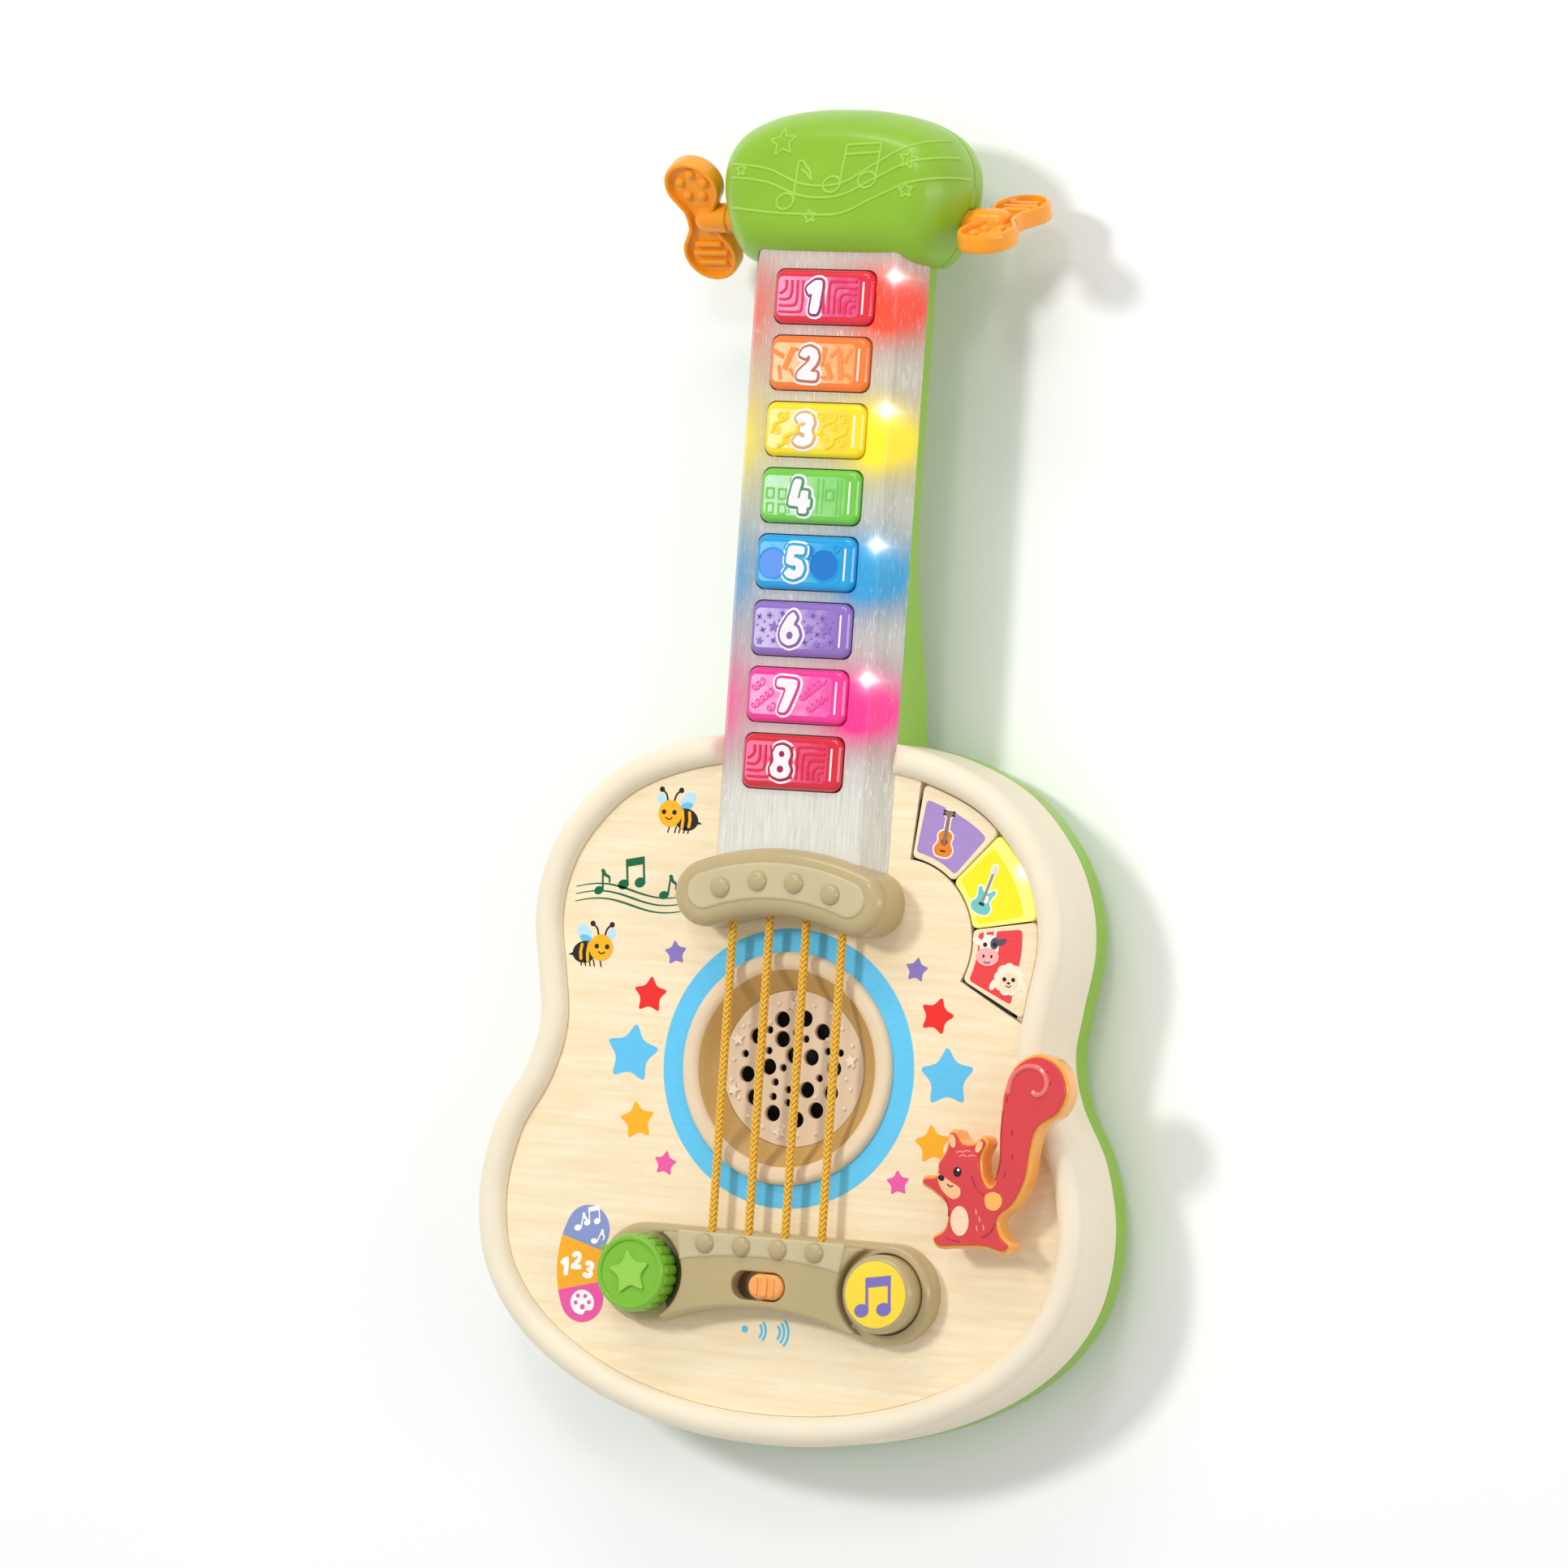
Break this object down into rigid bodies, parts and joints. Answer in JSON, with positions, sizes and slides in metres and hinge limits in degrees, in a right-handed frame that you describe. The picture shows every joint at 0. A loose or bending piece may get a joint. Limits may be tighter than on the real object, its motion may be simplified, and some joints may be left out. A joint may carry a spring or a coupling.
{
  "type": "toy guitar",
  "caption": "Toy guitar for small children: number keys that light up, corded strings, swinging lever, knob, slider, button and turning pegs.",
  "frame": {"origin": "middle of the box that holds the toy as it lies on its back, on the surface that it lies on", "axes": "+Z out of the toy's face, +Y from the body to the headstock, +X to the right when one looks at the face"},
  "size_m": [0.2276, 0.4492, 0.062],
  "materials": {
    "green_plastic": "glossy moulded",
    "cream_plastic": "satin moulded",
    "pale_plastic": "satin moulded",
    "birch": "clear-coated birch ply with printed marks",
    "frosted_plastic": "frosted translucent, streaked",
    "taupe_plastic": "satin moulded",
    "dark_steel": "black painted",
    "speaker_paper": "pressed paper",
    "bright_steel": "plated",
    "circuit_board": "solder mask",
    "mat_rubber": "silicone",
    "led_white": "clear epoxy",
    "black_plastic": "moulded",
    "cell_wrap": "shrink sleeve",
    "wire_grey": "insulation",
    "wire_red": "insulation",
    "wire_black": "insulation",
    "orange_plastic": "glossy moulded",
    "white_plastic": "moulded",
    "key_purple_print": "wood-look border, printed middle",
    "key_yellow_print": "wood-look border, printed middle",
    "key_red_print": "wood-look border, printed middle",
    "knob_green": "glossy moulded",
    "lever_orange": "translucent moulded",
    "lever_red": "printed",
    "string_braid": "braided cord",
    "key_1_plastic": "glossy translucent moulded",
    "key_2_plastic": "glossy translucent moulded",
    "key_3_plastic": "glossy translucent moulded",
    "key_4_plastic": "glossy translucent moulded",
    "key_5_plastic": "glossy translucent moulded",
    "key_6_plastic": "glossy translucent moulded",
    "key_7_plastic": "glossy translucent moulded",
    "key_8_plastic": "glossy translucent moulded"
  },
  "bodies": {
    "housing": {"rear_shell": "green_plastic", "neck_rear": "green_plastic", "head_rear": "green_plastic", "head_front": "green_plastic", "front_bezel": "cream_plastic", "wood_panel": "birch", "neck_cover": "frosted_plastic", "upper_bridge": "taupe_plastic", "lower_bridge": "taupe_plastic", "sound_ring": "cream_plastic", "speaker_grille": "pale_plastic", "speaker_frame": "dark_steel", "speaker_cone": "speaker_paper", "speaker_magnet": "bright_steel", "string_1": "string_braid", "string_2": "string_braid", "string_3": "string_braid", "string_4": "string_braid", "key_board": "circuit_board", "key_mat": "mat_rubber", "key_leds": "led_white", "main_board": "circuit_board", "board_chips": "black_plastic", "tact_switches": "black_plastic", "mode_switch": "black_plastic", "volume_switch": "black_plastic", "battery_box": "green_plastic", "battery_cells": "cell_wrap", "battery_contacts": "bright_steel", "battery_door": "green_plastic", "door_screws": "bright_steel", "case_screws": "bright_steel", "neck_harness": "wire_grey", "speaker_leads": "wire_red", "battery_leads": "wire_black", "lever_bushing": "cream_plastic", "lever_spring": "bright_steel"},
    "tuner_left_peg": {"tuner_left": "orange_plastic", "tuner_left_clip": "white_plastic"},
    "tuner_right_peg": {"tuner_right": "orange_plastic", "tuner_right_clip": "white_plastic"},
    "lever": {"lever_back": "lever_orange", "lever_front": "lever_red", "lever_screw": "bright_steel"},
    "knob": {"mode_knob": "knob_green"},
    "slider": {"volume_slider": "orange_plastic"},
    "button": {"music_button": "taupe_plastic"},
    "key_1": {"key_1": "key_1_plastic"},
    "key_2": {"key_2": "key_2_plastic"},
    "key_3": {"key_3": "key_3_plastic"},
    "key_4": {"key_4": "key_4_plastic"},
    "key_5": {"key_5": "key_5_plastic"},
    "key_6": {"key_6": "key_6_plastic"},
    "key_7": {"key_7": "key_7_plastic"},
    "key_8": {"key_8": "key_8_plastic"},
    "ukulele_key": {"ukulele_key": "key_purple_print"},
    "guitar_key": {"guitar_key": "key_yellow_print"},
    "animal_key": {"animal_key": "key_red_print"}
  },
  "joints": [
    {"name": "key_1_press", "type": "slide", "parent": "housing", "child": "key_1", "axis": [0, 0, -1], "range_m": [0, 0.0018], "stiffness_N_per_m": 300, "springref_m": -0.001},
    {"name": "key_2_press", "type": "slide", "parent": "housing", "child": "key_2", "axis": [0, 0, -1], "range_m": [0, 0.0018], "stiffness_N_per_m": 300, "springref_m": -0.001},
    {"name": "key_3_press", "type": "slide", "parent": "housing", "child": "key_3", "axis": [0, 0, -1], "range_m": [0, 0.0018], "stiffness_N_per_m": 300, "springref_m": -0.001},
    {"name": "key_4_press", "type": "slide", "parent": "housing", "child": "key_4", "axis": [0, 0, -1], "range_m": [0, 0.0018], "stiffness_N_per_m": 300, "springref_m": -0.001},
    {"name": "key_5_press", "type": "slide", "parent": "housing", "child": "key_5", "axis": [0, 0, -1], "range_m": [0, 0.0018], "stiffness_N_per_m": 300, "springref_m": -0.001},
    {"name": "key_6_press", "type": "slide", "parent": "housing", "child": "key_6", "axis": [0, 0, -1], "range_m": [0, 0.0018], "stiffness_N_per_m": 300, "springref_m": -0.001},
    {"name": "key_7_press", "type": "slide", "parent": "housing", "child": "key_7", "axis": [0, 0, -1], "range_m": [0, 0.0018], "stiffness_N_per_m": 300, "springref_m": -0.001},
    {"name": "key_8_press", "type": "slide", "parent": "housing", "child": "key_8", "axis": [0, 0, -1], "range_m": [0, 0.0018], "stiffness_N_per_m": 300, "springref_m": -0.001},
    {"name": "ukulele_key_press", "type": "slide", "parent": "housing", "child": "ukulele_key", "axis": [0, 0, -1], "range_m": [0, 0.0015], "stiffness_N_per_m": 300, "springref_m": -0.001},
    {"name": "guitar_key_press", "type": "slide", "parent": "housing", "child": "guitar_key", "axis": [0, 0, -1], "range_m": [0, 0.0015], "stiffness_N_per_m": 300, "springref_m": -0.001},
    {"name": "animal_key_press", "type": "slide", "parent": "housing", "child": "animal_key", "axis": [0, 0, -1], "range_m": [0, 0.0015], "stiffness_N_per_m": 300, "springref_m": -0.001},
    {"name": "button_press", "type": "slide", "parent": "housing", "child": "button", "axis": [0, 0, -1], "range_m": [0, 0.002], "stiffness_N_per_m": 300, "springref_m": -0.001},
    {"name": "knob_turn", "type": "hinge", "parent": "housing", "child": "knob", "pos_m": [-0.0455, -0.1704, 0.054], "axis": [0, 0, 1], "range_deg": [0, 60]},
    {"name": "slider_move", "type": "slide", "parent": "housing", "child": "slider", "axis": [1, 0, 0], "range_m": [-0.006, 0]},
    {"name": "lever_swing", "type": "hinge", "parent": "housing", "child": "lever", "pos_m": [0.077, -0.1414, 0.05], "axis": [0, 0, 1], "range_deg": [-15, 15], "stiffness_Nm_per_rad": 0.03},
    {"name": "tuner_left_spin", "type": "hinge", "parent": "housing", "child": "tuner_left_peg", "pos_m": [-0.0566, 0.1876, 0.037], "axis": [1, 0, 0], "continuous": true},
    {"name": "tuner_right_spin", "type": "hinge", "parent": "housing", "child": "tuner_right_peg", "pos_m": [0.0566, 0.1876, 0.037], "axis": [1, 0, 0], "continuous": true}
  ]
}
